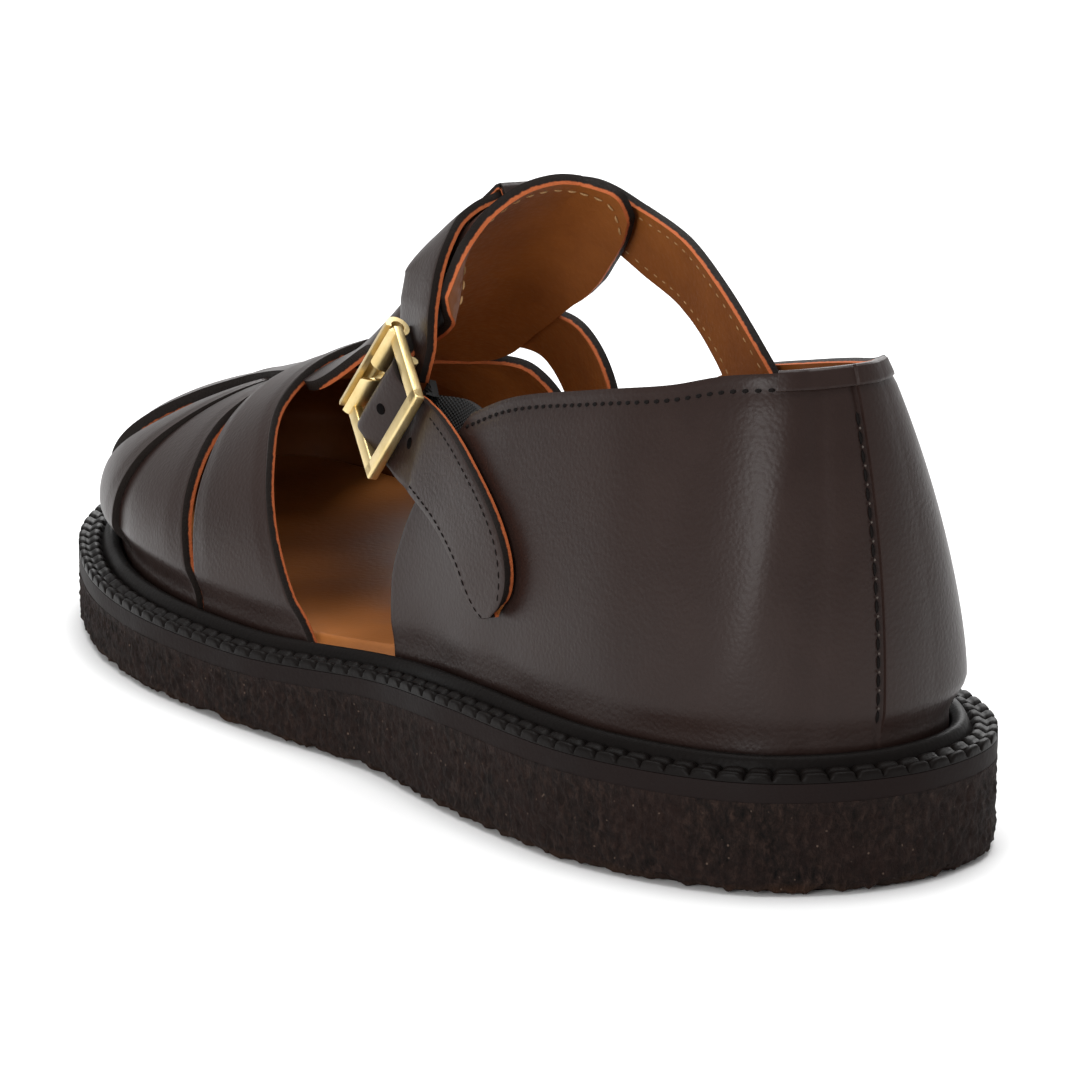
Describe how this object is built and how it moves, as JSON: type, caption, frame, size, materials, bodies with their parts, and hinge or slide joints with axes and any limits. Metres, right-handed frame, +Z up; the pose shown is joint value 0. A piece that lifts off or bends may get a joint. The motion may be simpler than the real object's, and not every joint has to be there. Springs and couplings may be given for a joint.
{
  "type": "fisherman sandal",
  "caption": "Closed-heel fisherman sandal with woven cross straps, a buckled ankle strap over the tongue, a ribbed welt and a thick crepe sole.",
  "frame": {"origin": "middle of the sole's plan, on the floor", "axes": "+X from heel to toe, +Y to the wearer's left (the outer side, with the buckle), +Z up"},
  "size_m": [0.2688, 0.0948, 0.0986],
  "materials": {
    "crepe": "matte, crumbled",
    "midsole_rubber": "satin",
    "welt_leather": "satin",
    "insole_leather": "satin",
    "upper_leather": "semi-gloss",
    "strap_leather": "semi-gloss",
    "keeper_leather": "semi-gloss",
    "elastic_web": "woven",
    "buckle_brass": "satin"
  },
  "bodies": {
    "root": {"outsole": "crepe", "midsole": "midsole_rubber", "welt": "welt_leather", "insole": "insole_leather", "upper": "upper_leather", "ankle_strap": "strap_leather", "strap_keeper": "keeper_leather", "elastic": "elastic_web", "buckle": "buckle_brass"}
  },
  "joints": []
}
